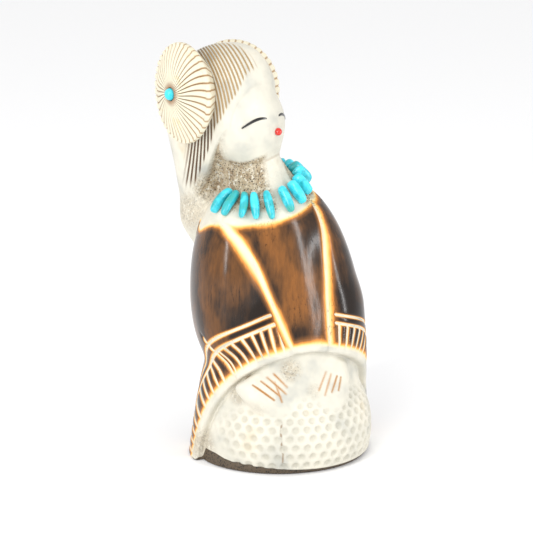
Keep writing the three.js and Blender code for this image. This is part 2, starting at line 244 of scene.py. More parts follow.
# %% Basket, hands, neck and head
BASKET_MIDDLE, BASKET_RADII = (1.2, -2, 7.8), (19.6, 18.718, 14)


def basket(p):
    return trim(ellipsoid(p, BASKET_MIDDLE, BASKET_RADII, 2.2), p[1] - 6, 2)


def hand(p, centre, toward, radii):
    f = unit(toward)
    out = np.array((0, -0.717, 0.697))
    n = unit(out - f * (out @ f))
    return ellipsoid(local(p, centre, (f, np.cross(f, n), n)), (0, 0, 0), radii, 2.3)


def hands(p):
    right = hand(p, (-8.6, -13.4, 20.2), (0.82, -0.3, -0.48), (8, 5.2, 3))
    left = hand(p, (7, -14, 20.4), (-0.35, -0.3, -0.85), (7, 4.8, 2.9))
    return join(right, left, 0.5)


HEAD = np.array((-9.4, 5.3, 85.6))
TURN, TIP = 31 * RAD, 10 * RAD
LEFT = np.array((np.cos(TURN), np.sin(TURN), 0))
FACE = np.array((np.sin(TURN) * np.cos(TIP), -np.cos(TURN) * np.cos(TIP), np.sin(TIP)))
UP = np.cross(FACE, LEFT)


def neck(p):
    t = (p[2] - 58) / 24
    x = p[0] + 5.2 + 4.4 * t
    y = p[1] - 4.2 - 1.8 * t
    side = ellipse(x * 0.515 - y * 0.857, x * 0.857 + y * 0.515, 10.6, 6.8)
    return trim(side, np.abs(p[2] - 69) - 15, 4)


def face(q):
    return ellipsoid(q, (0, 2, -3.4), (8.9, 9.2, 11))


def hood(p, q):
    crown = ellipsoid(q, (-0.7, -2.6, 1.4), (9.6, 12.2, 14.4), 2.5)
    fall = join(rod(p, (-16, 14.2, 83), (-15.4, 12.6, 58), 9, 6),
                rod(p, (-15.4, 12.6, 58), (-11.5, 7, 42), 6, 4), 3)
    return join(crown, fall, 7)


# %% [markdown]
# ## Where the knife went
# The finer cuts are laid out on the same field: fringe and stripes on the shawl's map, hair lines by their
# place on the head, the fingers as short strokes. Each one lifts the field a little, which cuts a groove.

# %% Fringe and stripes
STRIPES = (8.4, 10.7)
CREASE_RIGHT, CREASE_LEFT = -42.0, 46.0


def fringe_phase(turn):
    """Whole numbers fall on the grooves."""
    knots = [(-180, -40), (-92, -20), (-76, -16), (-71, -15), (-64.5, -14), (-60.4, -13), (-56.2, -12),
             (-52, -11), (-48, -10), (CREASE_RIGHT, -9), (-40.2, -8), (-36.4, -7), (-32.4, -6), (-28, -5),
             (-24, -4), (-20.5, -3), (-16.8, -2), (-12.9, -1), (-8.6, 0), (12.9, 1), (16.3, 2), (19.6, 3),
             (23, 4), (26.6, 5), (30.6, 6), (35, 7), (40, 8), (CREASE_LEFT, 9), (52, 10), (58, 11),
             (65, 12), (72, 13), (80, 14), (92, 16), (180, 36)]
    return np.interp(turn, *np.array(knots, float).T)


def shawl_map(p):
    rise, turn = chart(p)
    right, left = borders(p)
    panel = np.minimum(right, left)
    phase = fringe_phase(turn)
    band = rise * np.where(turn > 5, 1.13, 1.0)
    return rise, turn, band, phase, panel, right, left


def shawl_cuts(p):
    rise, turn, band, phase, panel, right, left = shawl_map(p)
    beside = ease(-0.7, -1.4, panel)
    off = np.abs((phase + 0.5) % 1 - 0.5) * 2.0
    fringe = bell(off, 0.42) * ease(1.0, 2.4, rise) * ease(STRIPES[0] + 0.1, STRIPES[0] - 0.5, band)
    stripes = bell(band - STRIPES[0], 0.42) + bell(band - STRIPES[1], 0.38)
    seam = bell((turn - CREASE_RIGHT) * 0.52, 0.4) * ease(-0.6, 0.2, rise) * ease(15, 12, rise)
    front = ease(4, -4, p[1]) * ease(70, 62, p[2]) * ease(-0.8, 0.4, rise)
    edges = (bell(right, 0.9) + bell(left, 0.62)) * front
    return beside * (0.34 * fringe + 0.36 * stripes * ease(100, 90, np.abs(turn))) + 0.3 * seam + 0.55 * edges


# %% [markdown]
# The hair is combed down from the crest, past the ear, to a smooth band round the face. One smooth function
# of the place on the head counts the lines: it is whole on a groove, so no line has to be drawn by hand.

# %% Hair lines
COMB = (7.363, 9.184, -5.648, -1.853, 0.42, 0.599, 0.354, -3.801, 2.315, -0.377, -0.355, 0.168, -1.824, 0.542)
HAIR_END = smooth_curve([(-24, -15), (-16, -9.3), (-11.9, -6), (-7.7, -2), (-4.5, 0.3), (-2.7, 1.6),
                         (-1.4, 3.2), (0.4, 4.5), (2.2, 5.8), (3.8, 7.1), (6.1, 8.1), (8, 8.5), (16, 9.8)])
HAIR_FRONT = smooth_curve([(-24, -14.3), (-16.1, -8.5), (-11.9, -5.1), (-7.7, -1), (-3.9, 3.1), (-2, 6)])


def comb_phase(a, f, u):
    terms = (1, a, f, u, a * a, f * f, u * u, a * f, a * u, f * u, u**3, f * u * u, a * u * u, f * f * u)
    return sum(w * term for w, term in zip(COMB, terms))


def comb(q):
    """Phase of the hair lines, and the width of one lock."""
    place = [np.abs(q[0]) / 10, q[1] / 10, q[2] / 10]
    middle = comb_phase(*place)
    change = 0
    for i in range(3):
        moved = list(place)
        moved[i] = moved[i] + 0.01
        change = change + ((comb_phase(*moved) - middle) / 0.1) ** 2
    return middle, 1 / np.sqrt(change + 0.01)


def hair_region(q):
    drop = np.maximum(2 - q[2], 0)
    bend = np.where(drop < 7, 0.5 * drop - 0.075 * drop**2, -0.175 - 0.55 * (drop - 7))
    front = ease(0.1, -0.9, q[1] - HAIR_END(q[2]))
    back = ease(-8.5, -6.0, q[1] - bend)
    return front * back * ease(1.5, 3.5, np.abs(q[0] - 1.5)) * ease(-19, -15, q[2])


def hair_cuts(q):
    phase, width = comb(q)
    off = np.abs((phase + 0.5) % 1 - 0.5) * width
    return 0.26 * bell(off, 0.17) * hair_region(q) * ease(0.35, 0.6, width)


# %% Strokes of the fingers and old cracks
FINGER_CUTS = [
    ((-12.3, -15.4, 22.6), (-7.7, -17.7, 19.1)), ((-10.1, -14.9, 23.2), (-5.9, -17.4, 19.6)),
    ((-8.5, -14.5, 23.9), (-4.5, -17.0, 20.1)), ((-6.8, -14.5, 24.5), (-4.0, -16.2, 21.5)),
    ((-6.8, -15.4, 22.8), (-5.8, -18.0, 18.5)), ((6.0, -15.6, 24.1), (3.8, -17.0, 20.2)),
    ((7.2, -15.9, 23.6), (5.1, -17.7, 19.0)), ((8.6, -16.2, 23.0), (6.9, -17.6, 19.6)),
    ((9.6, -16.3, 22.7), (8.7, -17.4, 19.8)),
]
CRACKS = [((-6.2, -18.8, 13.3), (-6.6, -19.6, 9.5)), ((-6.6, -19.6, 9.5), (-6.1, -19.7, 5.7)),
          ((-6.1, -19.7, 5.7), (-6.0, -18.9, 1.0))]


def strokes(p, lines, width):
    total = 0
    for a, b in lines:
        total = np.maximum(total, bell(np.maximum(rod(p, a, b, 0, 0), 0), width))
    return total


# %% [markdown]
# Now the whole carving. The shawl stops at the hem with a step over what lies under it. The side of the neck
# between the hair and the jaw is the antler's open core, so it is cut back a little.


# %% The carving
def face_edge(q):
    """A crisp line round the face: steep on the side of the band, easy on the side of the cheek."""
    level = (np.abs(q[0] / 8.5) ** 2.4 + np.abs((q[2] + 3.75) / 9.05) ** 2.4 + 1e-9) ** (1 / 2.4)
    off = (level - 1) * 8.7
    line = np.where(off > 0, bell(off, 0.55), bell(off, 2.2))
    return line * ease(0, 3, q[1]) * ease(-9.5, -6.5, q[2])


def open_neck(p, q, face_gap):
    ahead = ease(0.1, 1.1, q[1] - HAIR_FRONT(q[2])) * ease(-3.4, -4.6, q[2])
    return ahead * ease(0.0, 0.9, face_gap) * ease(62, 66, p[2])


def base_rim(p):
    """Top of the dark rim under the basket, highest at the figure's right."""
    return 0.9 + 1.3 * ease(20, -60, bearing(p)) + 1.0 * ease(-55, -72, bearing(p))


def parts_of(p):
    robe = shawl(p)
    hem = above_hem(p)
    q = local(p, HEAD, (LEFT, FACE, UP))
    core = robe + SHAWL_STEP
    lap = join(join(core, basket(p), 4.5), hands(p), 2.5)
    return robe, hem, core, lap, neck(p), q, face(q), hood(p, q)


def carving(x, y, z, cuts=True):
    p = (x, y, z)
    robe, hem, core, lap, throat, q, brow, hair = parts_of(p)
    if cuts:
        robe = robe + shawl_cuts(p)
        lap = lap + 0.3 * strokes(p, FINGER_CUTS, 0.28) + 0.45 * strokes(p, CRACKS, 0.22)
        hair = hair + hair_cuts(q) + 0.7 * open_neck(p, q, brow) + 0.3 * face_edge(q)
        brow = brow + 0.3 * face_edge(q)
        throat = throat + 0.5 * open_neck(p, q, brow)
        lap = lap + 0.55 * ease(0.25, -0.25, z - base_rim(p))
    d = join(trim(robe, -hem, 1), trim(core, hem - 3, 1), 0.5)
    d = join(d, trim(lap, hem + 0.8, 1), 1)
    d = join(d, throat, 2)
    return join(d, join(brow, hair, 0.6), 1.2)


# %% [markdown]
# ## From field to mesh
# Surface nets put one vertex in every cell that the surface crosses and one quad on every crossed edge.
# Only cells near the surface are worked out. Then each vertex slides along the slope onto the surface, so the
# mesh is much smoother than its grid.

# %% Surface nets
REACH = 2.2


def in_chunks(field, x, y, z, size=300000):
    parts = [field(x[i:i + size], y[i:i + size], z[i:i + size]) for i in range(0, len(x), size)]
    return np.concatenate(parts)


def grid_values(field, low, high, step):
    counts = [int(np.ceil((high[i] - low[i]) / step / 4)) * 4 + 1 for i in range(3)]
    axes = [low[i] + step * np.arange(counts[i]) for i in range(3)]
    rough = field(*np.meshgrid(*[a[::4] for a in axes], indexing="ij"))
    values = rough[np.ix_(*[(np.arange(n) + 2) // 4 for n in counts])].astype(np.float32)
    at = np.nonzero(np.abs(values) < REACH)
    values[at] = in_chunks(field, *[axes[i][at[i]] for i in range(3)])
    return values


CORNERS = np.array([(i, j, k) for i in (0, 1) for j in (0, 1) for k in (0, 1)])
EDGES = [(a, b) for a in range(8) for b in range(a + 1, 8) if np.abs(CORNERS[a] - CORNERS[b]).sum() == 1]


def net_points(values, low, step):
    inside = values < 0
    cells = tuple(n - 1 for n in values.shape)
    count = np.zeros(cells, np.uint8)
    for i, j, k in CORNERS:
        count += inside[i:i + cells[0], j:j + cells[1], k:k + cells[2]]
    at = np.stack(np.nonzero((count > 0) & (count < 8)), 1)
    number = np.full(cells, -1, np.int32)
    number[tuple(at.T)] = np.arange(len(at))
    v = np.stack([values[tuple((at + c).T)] for c in CORNERS], 1)
    total, hits = np.zeros((len(at), 3)), np.zeros(len(at))
    for a, b in EDGES:
        cross = (v[:, a] < 0) != (v[:, b] < 0)
        t = np.where(cross, v[:, a] / np.where(cross, v[:, a] - v[:, b], 1), 0)
        total += cross[:, None] * (CORNERS[a] + t[:, None] * (CORNERS[b] - CORNERS[a]))
        hits += cross
    return np.asarray(low) + step * (at + total / hits[:, None]), number, inside


def net_quads(number, inside):
    quads = []
    for a in range(3):
        b, c = (a + 1) % 3, (a + 2) % 3
        here = [slice(None)] * 3
        there = [slice(None)] * 3
        here[a], there[a] = slice(0, -1), slice(1, None)
        first, second = inside[tuple(here)], inside[tuple(there)]
        at = np.stack(np.nonzero(first != second), 1)
        limit = np.array(number.shape)
        at = at[(at[:, b] > 0) & (at[:, c] > 0) & (at[:, b] < limit[b]) & (at[:, c] < limit[c])]
        outward = first[tuple(at.T)]
        ring = []
        for db, dc in ((-1, -1), (0, -1), (0, 0), (-1, 0)):
            cell = at.copy()
            cell[:, b] += db
            cell[:, c] += dc
            ring.append(number[tuple(cell.T)])
        ring = np.stack(ring, 1)
        quads.append(np.where(outward[:, None], ring, ring[:, ::-1]))
    return np.concatenate(quads)


# %% Slide the vertices onto the surface
TETRA = np.array([(1, -1, -1), (-1, -1, 1), (-1, 1, -1), (1, 1, 1)])


def slope_at(field, points, e=0.04):
    levels = [in_chunks(field, *(points + e * k).T) for k in TETRA]
    slope = sum(level[:, None] * k for level, k in zip(levels, TETRA)) / (4 * e)
    return sum(levels) / 4, slope


def settle(field, points, rounds):
    for _ in range(rounds):
        level, slope = slope_at(field, points)
        move = level[:, None] * slope / (np.sum(slope**2, 1)[:, None] + 1e-6)
        points = points - np.clip(move, -0.15, 0.15)
    return points


def mesh_field(name, field, low, high, step):
    points, number, inside = net_points(grid_values(field, low, high, step), low, step)
    points = settle(field, points, 3)
    mesh = bpy.data.meshes.new(name)
    mesh.from_pydata((points * MM).tolist(), [], net_quads(number, inside).tolist())
    mesh.validate()
    piece = new_piece(name, mesh)
    print(name, "grid mesh:", len(mesh.vertices), "vertices")
    return piece


# %% [markdown]
# The carving is meshed in two halves, so that the fine hair lines get a finer grid than the broad shawl. They
# meet just above the collar and lap over each other a little there, so that no seam shows.

# %% Mesh the two halves
COLLAR_CUT, LAP_OVER, LAP_UNDER = 67.5, 0.4, 0.2
FINE = 1.0


def lower_half(x, y, z):
    return np.maximum(np.maximum(carving(x, y, z), -z), z - COLLAR_CUT - LAP_OVER)


def upper_half(x, y, z):
    return np.maximum(carving(x, y, z), COLLAR_CUT - LAP_UNDER - z)


body = mesh_field("antler_robe_and_basket", lower_half, (-28.1, -22.1, -0.4), (25.4, 28.4, 68.6), 0.27 * FINE)
head = mesh_field("antler_head", upper_half, (-28.1, -15.1, 66.9), (8.1, 28.4, 102.6), 0.2 * FINE)

# %% [markdown]
# ## Dimples of the basket
# The weave of the basket is shown by rows of round dimples. They repeat by a rule, so Geometry Nodes cut
# them: two lattices, one shifted by half a step, give the distance to the nearest centre, and each vertex
# sinks along its normal where that distance is small. The depth is kept as an attribute, and the colour
# uses it to grey the cups as painted shade.

# %% Helpers for node trees
def node(tree, kind, links=(), **settings):
    made = tree.nodes.new(kind)
    for name, value in settings.items():
        setattr(made, name, value)
    for socket, value in dict(links).items():
        if isinstance(value, bpy.types.NodeSocket):
            tree.links.new(value, made.inputs[socket])
        else:
            made.inputs[socket].default_value = value
    return made


def calc(tree, operation, a, b=0.0, c=0.0, clamp=False):
    links = {0: a, 1: b, 2: c}
    return node(tree, "ShaderNodeMath", links, operation=operation, use_clamp=clamp).outputs[0]


def plus(tree, a, b, clamp=False):
    return calc(tree, "ADD", a, b, clamp=clamp)


def minus(tree, a, b, clamp=False):
    return calc(tree, "SUBTRACT", a, b, clamp=clamp)


def times(tree, a, b, clamp=False):
    return calc(tree, "MULTIPLY", a, b, clamp=clamp)


def over(tree, a, b):
    return calc(tree, "DIVIDE", a, b)


def from_whole(tree, value):
    """How far a phase is from the nearest whole number, with its sign."""
    return minus(tree, value, calc(tree, "ROUND", value))


def magnitude(tree, value):
    return calc(tree, "ABSOLUTE", value)


def new_tree(name, inputs):
    tree = bpy.data.node_groups.new(name, "GeometryNodeTree")
    tree.interface.new_socket("Geometry", in_out="INPUT", socket_type="NodeSocketGeometry")
    tree.interface.new_socket("Geometry", in_out="OUTPUT", socket_type="NodeSocketGeometry")
    ids = {}
    for label, kind in inputs.items():
        ids[label] = tree.interface.new_socket(label, in_out="INPUT", socket_type=kind).identifier
    return tree, node(tree, "NodeGroupInput"), node(tree, "NodeGroupOutput"), ids


def bake_tree(piece, tree, ids, values):
    modifier = piece.modifiers.new(tree.name, "NODES")
    modifier.node_group = tree
    for label, value in values.items():
        modifier[ids[label]] = value
    bake_modifiers(piece)


def bake_modifiers(piece):
    bpy.context.view_layer.update()
    depsgraph = bpy.context.evaluated_depsgraph_get()
    baked = bpy.data.meshes.new_from_object(piece.evaluated_get(depsgraph), preserve_all_data_layers=True,
                                            depsgraph=depsgraph)
    old = piece.data
    piece.modifiers.clear()
    piece.data = baked
    bpy.data.meshes.remove(old)
    piece.data.name = piece.name


def positions(mesh):
    flat = np.empty(len(mesh.vertices) * 3, np.float32)
    mesh.vertices.foreach_get("co", flat)
    return flat.reshape(-1, 3).astype(float) / MM


def keep(mesh, name, values):
    layer = mesh.attributes.get(name) or mesh.attributes.new(name, "FLOAT", "POINT")
    layer.data.foreach_set("value", np.ascontiguousarray(values, np.float32))


# %% Where the dimples go
def weave_map(points):
    p = tuple(points.T)
    around = np.arctan2(p[0] - 1.2, -(p[1] + 2)) * 19.4
    _, hem, core, *_ = parts_of(p)
    round_it = ease(1.8, 0.6, np.abs(basket(p)))
    clear = ease(-0.4, -2.0, hem) * ease(0.5, 1.4, hands(p)) * ease(-1.2, 0.2, core)
    up = p[2] + 0.012 * np.maximum(p[2] - 8, 0) ** 2.6 * 0.5
    return around, up, round_it * clear * ease(1.0, 2.0, p[2])


surface = positions(body.data)
weave = weave_map(surface)
for name, values in zip(("weave_around", "weave_up", "weave_here"), weave):
    keep(body.data, name, values)
print("weave reaches", int(surface[weave[2] > 0.5, 2].max()), "mm up")


# %% The dimple tree
def dimple_tree():
    tree, given, out, ids = new_tree("woven_dimples", {
        "Step across": "NodeSocketFloat", "Step up": "NodeSocketFloat",
        "Cup radius": "NodeSocketFloat", "Depth": "NodeSocketFloat"})
    read = {name: node(tree, "GeometryNodeInputNamedAttribute", {"Name": name}).outputs[0]
            for name in ("weave_around", "weave_up", "weave_here")}

    def to_nearest(value, step, shift):
        turns = plus(tree, over(tree, value, step), shift)
        return times(tree, from_whole(tree, turns), step)

    def lattice(shift):
        x = to_nearest(read["weave_around"], given.outputs["Step across"], shift)
        y = to_nearest(read["weave_up"], given.outputs["Step up"], shift)
        squares = plus(tree, calc(tree, "POWER", magnitude(tree, x), 2.0),
                       calc(tree, "POWER", magnitude(tree, y), 2.0))
        return calc(tree, "SQRT", squares)

    nearest = calc(tree, "MINIMUM", lattice(0.0), lattice(0.5))
    inward = minus(tree, 1.0, over(tree, nearest, given.outputs["Cup radius"]), clamp=True)
    cup = calc(tree, "SMOOTH_MIN", times(tree, inward, 1.9), 1.0, 0.5)
    cup = times(tree, calc(tree, "MAXIMUM", cup, 0.0), read["weave_here"])
    sink = times(tree, times(tree, cup, given.outputs["Depth"]), -1.0)
    normal = node(tree, "GeometryNodeInputNormal").outputs[0]
    push = node(tree, "ShaderNodeVectorMath", {0: normal, "Scale": sink}, operation="SCALE").outputs[0]
    links = {"Geometry": given.outputs[0], "Name": "cup", "Value": cup}
    stored = node(tree, "GeometryNodeStoreNamedAttribute", links, data_type="FLOAT", domain="POINT")
    moved = node(tree, "GeometryNodeSetPosition", {"Geometry": stored.outputs[0], "Offset": push})
    tree.links.new(moved.outputs[0], out.inputs[0])
    return tree, ids


tree, ids = dimple_tree()
bake_tree(body, tree, ids, {"Step across": 2.95, "Step up": 4.7, "Cup radius": 1.12, "Depth": 0.5 * MM})
print("dimpled:", len(body.data.vertices), "vertices")

# %% [markdown]
# The grid meshes are thinned by collapsing edges where the surface is plain. The fine cuts keep their
# vertices, and each half stays under 200,000 triangles.


# %% Thin the meshes
def thin(piece, most):
    faces = sum(len(face.vertices) - 2 for face in piece.data.polygons)
    if faces > most:
        modifier = piece.modifiers.new("thin", "DECIMATE")
        modifier.ratio = most / faces
        modifier.use_collapse_triangulate = True
        bake_modifiers(piece)
    piece.data.shade_smooth()
    piece.data.set_sharp_from_angle(angle=58 * RAD)
    print(piece.name, faces, "->", len(piece.data.polygons), "triangles")


thin(body, 192000)
thin(head, 192000)

# %% [markdown]
# ## Maps for the colour
# Stain, pores and the painted shade in creases follow the carving, so each vertex carries smooth measures in
# millimetres: its height over the hem, its place among the fringe, its distance from the borders. The
# material turns them into lines, which stay crisp because the measures run evenly through a line and don't
# stop at it.

# %% Measures on the shawl
COLLAR_LINE = smooth_curve([(-180, 62), (-120, 60.2), (-91, 57.6), (-79, 59.2), (-69, 60.2), (-44, 60.4),
                            (-30, 60.5), (-7, 61.2), (20, 62.4), (42, 63.6), (70, 65.5), (120, 67),
                            (180, 66.5)])


def near(p, centre, radius):
    return ease(radius, radius * 0.35, np.sqrt(sum((p[i] - centre[i]) ** 2 for i in range(3))))


def keep_shawl(mesh, p):
    rise, turn, band, phase, panel, right, left = shawl_map(p)
    robe, hem, _, lap, throat, _, brow, hair = parts_of(p)
    angle = bearing(p)
    outside = ease(0.2, -1.5, panel)
    collar = COLLAR_LINE(angle) - p[2] - 0.3 * outside
    others = np.minimum(np.minimum(lap + 20 * (hem > -0.2), throat), np.minimum(brow, hair))
    width = np.where(right < left, 0.26 + 0.34 * ease(33, 54, p[2]), 0.2 + 0.1 * ease(40, 60, p[2]))
    keep(mesh, "rise", rise)
    keep(mesh, "band", band)
    keep(mesh, "fringe", phase)
    keep(mesh, "panel", panel)
    keep(mesh, "border", np.abs(panel) - width + 9 * (p[1] > 9))
    keep(mesh, "collar", collar)
    keep(mesh, "seam", np.abs(turn - CREASE_RIGHT) * 0.52 + 3 * ease(12, 16, rise))
    keep(mesh, "robe", np.minimum(others - robe, 3))


# %% Measures on the bare antler
# Patches of open, porous antler, and places on the shawl where the stain is darker: centre, radius, strength.
POROUS = [((-2.8, -15.4, 25.2), 3.6, 0.6), ((-14.6, -10.7, 19.0), 3.6, 0.5), ((-20.5, -3.0, 4), 6.0, 0.5),
          ((-19.4, -0.5, 98.7), 3.8, 0.85), ((-20.9, 9.5, 60), 6.5, 0.5), ((-17, 6, 66), 5.5, 0.7),
          ((2.6, -16.6, 20.0), 2.6, 0.25), ((-10.3, -15.0, 17.6), 3.6, 0.25)]
DEEP_STAIN = [((2.6, -12.0, 53.0), 6.5, 1.0), ((-13.6, -13.4, 38.0), 8.0, 0.7),
              ((-1.0, -15.0, 33.0), 5.0, 0.4)]


def strongest(p, patches, start):
    for centre, radius, strength in patches:
        start = np.maximum(start, strength * near(p, centre, radius))
    return start


def keep_antler(mesh, p):
    _, hem, _, _, throat, q, brow, hair = parts_of(p)
    side_of_neck = ease(-0.3, -2.8, q[0] + 0.25 * (q[1] - 7)) + ease(3.5, 6.0, q[0])
    throat_on = ease(0.6, -0.2, throat - np.minimum(brow, hair)) * ease(62.5, 64, p[2])
    pores = np.maximum(open_neck(p, q, brow), throat_on) * np.clip(side_of_neck, 0.12, 1)
    keep(mesh, "pores", strongest(p, POROUS, pores))
    phase, width = comb(q)
    keep(mesh, "hair", phase)
    keep(mesh, "hair_width", width)
    keep(mesh, "hair_on", hair_region(q) * ease(-0.5, 0.3, brow - hair) * ease(64, 67, p[2]))
    keep(mesh, "hair_tint", ease(4.5, -3.5, q[1] + 0.35 * q[2]))
    keep(mesh, "deep_stain", strongest(p, DEEP_STAIN, ease(8, 15, p[0])))
    keep(mesh, "rim", p[2] - base_rim(p) + 3 * ease(-0.6, 0.2, hem))
    keep(mesh, "stroke", np.minimum(1.5 * strokes(p, FINGER_CUTS, 0.21), 1))
    keep(mesh, "crack", 0.8 * strokes(p, CRACKS, 0.17))


# The field's concavity at each vertex; the material paints shade into concave creases with it.
def keep_crease_shade(mesh, points, e=0.5):
    middle = in_chunks(carving, *points.T)
    around = -6 * middle
    for step in np.vstack([np.eye(3), -np.eye(3)]) * e:
        around = around + in_chunks(carving, *(points + step).T)
    keep(mesh, "concavity_for_shade", np.clip(around / e, -3, 3))


for piece in (body, head):
    points = positions(piece.data)
    keep_shawl(piece.data, tuple(points.T))
    keep_antler(piece.data, tuple(points.T))
    keep_crease_shade(piece.data, points)
    if "cup" not in piece.data.attributes:
        keep(piece.data, "cup", np.zeros(len(points)))
    print(piece.name, "measures:", len(piece.data.attributes))

# %% [markdown]
# ## Stained and bare antler
# The shawl was painted with a dark brown stain, and the lines were cut through it afterwards, which leaves
# them cream with a burnt amber rim. One number, the depth of the stain, runs from 0 in a cut to 1 in
# the open. A colour ramp turns it into cream, amber, brown and near black, and noise makes it uneven.


# %% Shader helpers
def linear(r, g, b):
    def channel(v):
        v /= 255
        return v / 12.92 if v <= 0.04045 else ((v + 0.055) / 1.055) ** 2.4

    return channel(r), channel(g), channel(b), 1.0


def attribute(tree, name):
    return node(tree, "ShaderNodeAttribute", attribute_name=name).outputs["Fac"]


def stretch(tree, value, low, high, to_low=0.0, to_high=1.0):
    links = {"Value": value, "From Min": low, "From Max": high, "To Min": to_low, "To Max": to_high}
    return node(tree, "ShaderNodeMapRange", links, interpolation_type="SMOOTHSTEP").outputs[0]


def ramp(tree, value, stops):
    made = node(tree, "ShaderNodeValToRGB", {0: value})
    elements = made.color_ramp.elements
    while len(elements) < len(stops):
        elements.new(0.5)
    for element, (at, colour) in zip(elements, stops):
        element.position = at
        element.color = colour
    return made.outputs[0]


def mix(tree, share, a, b):
    made = node(tree, "ShaderNodeMix", data_type="RGBA")
    for socket, value in ((0, share), (6, a), (7, b)):
        if isinstance(value, bpy.types.NodeSocket):
            tree.links.new(value, made.inputs[socket])
        else:
            made.inputs[socket].default_value = value
    return made.outputs[2]


def object_space(tree, scale):
    place = node(tree, "ShaderNodeTexCoord").outputs["Object"]
    return node(tree, "ShaderNodeMapping", {"Vector": place, "Scale": scale}).outputs[0]


def noise(tree, space, size, detail=3.0, rough=0.55):
    links = {"Vector": space, "Scale": size, "Detail": detail, "Roughness": rough}
    return node(tree, "ShaderNodeTexNoise", links).outputs["Fac"]


def roughen(tree, shader, height, depth, strength):
    links = {"Height": height, "Distance": depth * MM, "Strength": strength}
    tree.links.new(node(tree, "ShaderNodeBump", links).outputs[0], shader.inputs["Normal"])


def new_material(name, roughness, coat=0.0, specular=0.5):
    material = bpy.data.materials.new(name)
    material.use_nodes = True
    tree = material.node_tree
    shader = tree.nodes["Principled BSDF"]
    shader.inputs["Coat Weight"].default_value = coat
    shader.inputs["Coat Roughness"].default_value = 0.12
    shader.inputs["Specular IOR Level"].default_value = specular
    if isinstance(roughness, float):
        shader.inputs["Roughness"].default_value = roughness
    return material, tree, shader


# %% Depth of the stain
def lines_off(tree, value, at, half):
    return minus(tree, magnitude(tree, minus(tree, value, at)), half)


def least(tree, values):
    result = values[0]
    for value in values[1:]:
        result = calc(tree, "MINIMUM", result, value)
    return result


def cut_distance(tree):
    """Least distance from a cut, each scaled so that 1 is full stain."""
    rise, band, panel = (attribute(tree, name) for name in ("rise", "band", "panel"))
    skip = times(tree, stretch(tree, panel, -1.4, -0.9), 6.0)
    stripes = least(tree, [lines_off(tree, band, at, half) for at, half in zip(STRIPES, (0.3, 0.26))])
    stripes = over(tree, plus(tree, stripes, skip), 0.6)
    phase = attribute(tree, "fringe")
    off = from_whole(tree, phase)
    off = minus(tree, times(tree, magnitude(tree, off), 2.0), 0.2)
    above = times(tree, stretch(tree, band, STRIPES[0] - 0.3, STRIPES[0] + 0.1), 6.0)
    fringe = over(tree, plus(tree, plus(tree, off, skip), above), 0.55)
    hem = over(tree, minus(tree, rise, 1.9), 2.6)
    border = over(tree, attribute(tree, "border"), 1.8)
    collar = over(tree, attribute(tree, "collar"), 1.7)
    seam = over(tree, minus(tree, attribute(tree, "seam"), 0.22), 0.6)
    return least(tree, [stripes, fringe, hem, border, collar, seam])


def stain_colour(tree, depth, wide, fine):
    rich = plus(tree, stretch(tree, wide, 0.36, 0.66, 0.5, 0.88), stretch(tree, fine, 0.3, 0.7, -0.05, 0.06))
    panel = stretch(tree, attribute(tree, "panel"), 0.0, 5.0, 0.08, -0.06)
    rich = plus(tree, plus(tree, rich, panel), times(tree, attribute(tree, "deep_stain"), 0.2))
    level = times(tree, calc(tree, "MINIMUM", depth, 1.0), rich, clamp=True)
    return ramp(tree, level, [(0.0, linear(230, 213, 170)), (0.12, linear(234, 194, 118)),
                              (0.24, linear(220, 142, 58)), (0.4, linear(134, 84, 38)),
                              (0.6, linear(98, 63, 32)), (0.8, linear(58, 38, 22)),
                              (1.0, linear(28, 18, 11))])


# %% Bare antler
def antler_colour(tree, space, streaks):
    cloud = noise(tree, space, 0.11, 3.0)
    base = ramp(tree, cloud, [(0.3, linear(176, 176, 168)), (0.44, linear(202, 199, 186)),
                              (0.62, linear(217, 212, 197)), (0.8, linear(203, 191, 164))])
    base = mix(tree, stretch(tree, streaks, 0.55, 0.8, 0.0, 0.35), base, linear(196, 186, 164))
    concavity_for_shade = attribute(tree, "concavity_for_shade")
    bare = stretch(tree, attribute(tree, "robe"), 0.3, -0.3)
    # Painted shade: concave creases on the bare antler are darkened to brown-grey, standing in for the shade
    # that falls in them.
    painted_crease_shade = times(tree, stretch(tree, concavity_for_shade, -0.2, -1.4, 0.0, 0.65), bare)
    base = mix(tree, painted_crease_shade, base, linear(146, 116, 80))
    return base


def pore_colour(tree, space):
    small = node(tree, "ShaderNodeTexVoronoi", {"Vector": space, "Scale": 2.0}).outputs["Distance"]
    grain = noise(tree, space, 2.2, 5.0, 0.7)
    spots = plus(tree, stretch(tree, small, 0.42, 0.12), stretch(tree, grain, 0.5, 0.72), clamp=True)
    ground = ramp(tree, noise(tree, space, 0.5), [(0.3, linear(196, 184, 160)), (0.6, linear(158, 140, 112)),
                                                   (0.8, linear(118, 98, 78))])
    return mix(tree, stretch(tree, spots, 0.2, 0.9, 0.0, 0.9), ground, linear(44, 31, 22)), spots


def hair_groove(tree):
    phase = attribute(tree, "hair")
    off = magnitude(tree, from_whole(tree, phase))
    off = times(tree, off, attribute(tree, "hair_width"))
    return times(tree, stretch(tree, off, 0.3, 0.08), attribute(tree, "hair_on"))


